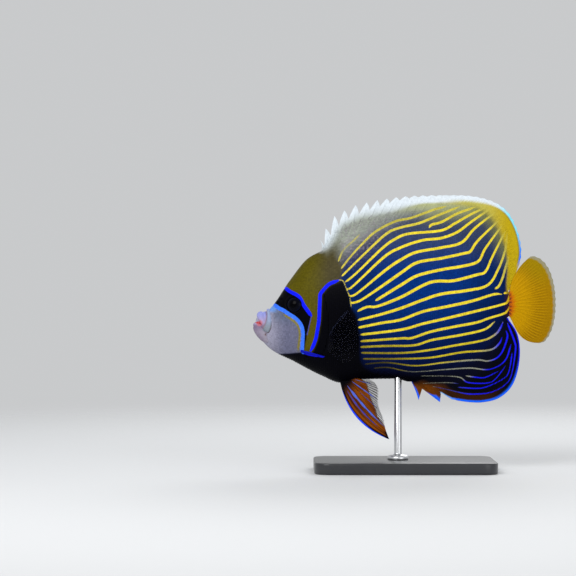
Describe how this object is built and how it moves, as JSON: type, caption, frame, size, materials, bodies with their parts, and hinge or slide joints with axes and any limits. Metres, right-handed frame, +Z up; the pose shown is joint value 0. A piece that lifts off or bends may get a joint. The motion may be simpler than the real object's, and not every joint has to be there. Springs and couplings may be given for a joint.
{
  "type": "emperor angelfish display model",
  "caption": "Still life-size adult emperor angelfish with striped deep body, spread ridged fins, cheek spines and open mouth, held over a flat base by one rod.",
  "frame": {"origin": "middle of the underside of the whole model's box, on the surface that the base stands on", "axes": "the head faces -X, the fish's left side faces -Y, +Z is up"},
  "size_m": [0.3182, 0.104, 0.2903],
  "materials": {
    "face_skin": "satin skin, lavender grey face, black mask edged in blue, olive nape",
    "lip_skin": "soft satin, pale lavender",
    "body_skin": "satin scales, dark blue with yellow stripes",
    "tail_fin_skin": "satin, yellow orange with fine darker rays",
    "dorsal_fin_skin": "satin, grey white spines in front, yellow stripes behind",
    "anal_fin_skin": "satin, black with blue lines and a brown band",
    "eye": "high gloss, dark",
    "gill_cover_skin": "satin, olive with a blue spine",
    "pectoral_fin_skin": "thin, dark and partly clear",
    "pelvic_fin_skin": "satin, orange brown with pale blue rays",
    "stand_base": "satin black",
    "stand_rod": "fine brushed"
  },
  "bodies": {
    "root": {"head": "face_skin", "upper_jaw": "lip_skin", "lower_jaw": "lip_skin", "torso": "body_skin", "tail_stalk": "body_skin", "tail_fin": "tail_fin_skin", "dorsal_fin_spiny": "dorsal_fin_skin", "dorsal_fin_soft": "dorsal_fin_skin", "anal_fin": "anal_fin_skin", "eye_left": "eye", "eye_right": "eye", "gill_cover_left": "gill_cover_skin", "gill_cover_right": "gill_cover_skin", "pectoral_fin_left": "pectoral_fin_skin", "pectoral_fin_right": "pectoral_fin_skin", "pelvic_fin_left": "pelvic_fin_skin", "pelvic_fin_right": "pelvic_fin_skin", "stand_base": "stand_base", "stand_rod": "stand_rod"}
  },
  "joints": []
}
